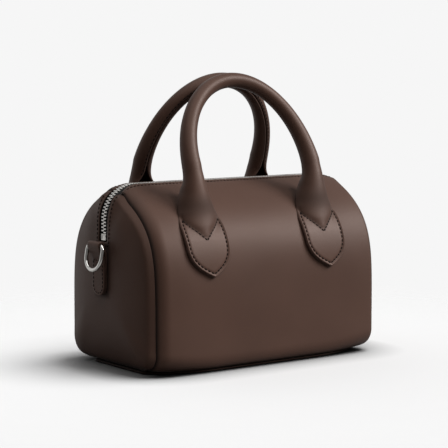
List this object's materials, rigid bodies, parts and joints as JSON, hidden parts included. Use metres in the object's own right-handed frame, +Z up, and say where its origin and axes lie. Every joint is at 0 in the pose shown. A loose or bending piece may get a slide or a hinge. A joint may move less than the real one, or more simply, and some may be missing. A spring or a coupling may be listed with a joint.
{
  "type": "mini handbag",
  "caption": "Small barrel-shaped leather handbag with a zip over the top and down both domed ends, rolled arched handles on stitched shields and swinging D-rings in folded side tabs.",
  "frame": {"origin": "centre of the base on the floor", "axes": "+X along the bag's length to its right end, +Y to its back, +Z up; the front with the shields seen in the picture faces -Y"},
  "size_m": [0.237, 0.1148, 0.2094],
  "materials": {
    "leather": "smooth satin dark brown",
    "zip_tape": "woven black tape",
    "nickel": "polished nickel plate"
  },
  "bodies": {
    "bag": {"front_panel": "leather", "back_panel": "leather", "end_panel_right": "leather", "end_panel_left": "leather", "base_panel": "leather", "zip_tape_front": "zip_tape", "zip_tape_back": "zip_tape", "zip_chain": "nickel", "zip_stop": "nickel", "zip_slider": "nickel", "ring_tab_right": "leather", "ring_tab_left": "leather", "handle_front": "leather", "handle_back": "leather"},
    "ring_right": {"d_ring_right": "nickel"},
    "ring_left": {"d_ring_left": "nickel"}
  },
  "joints": [
    {"name": "d_ring_right_swing", "type": "hinge", "parent": "bag", "child": "ring_right", "pos_m": [0.114, 0, 0.0895], "axis": [0, -1, 0], "range_deg": [-8, 175]},
    {"name": "d_ring_left_swing", "type": "hinge", "parent": "bag", "child": "ring_left", "pos_m": [-0.114, 0, 0.0895], "axis": [0, 1, 0], "range_deg": [-8, 175]}
  ]
}
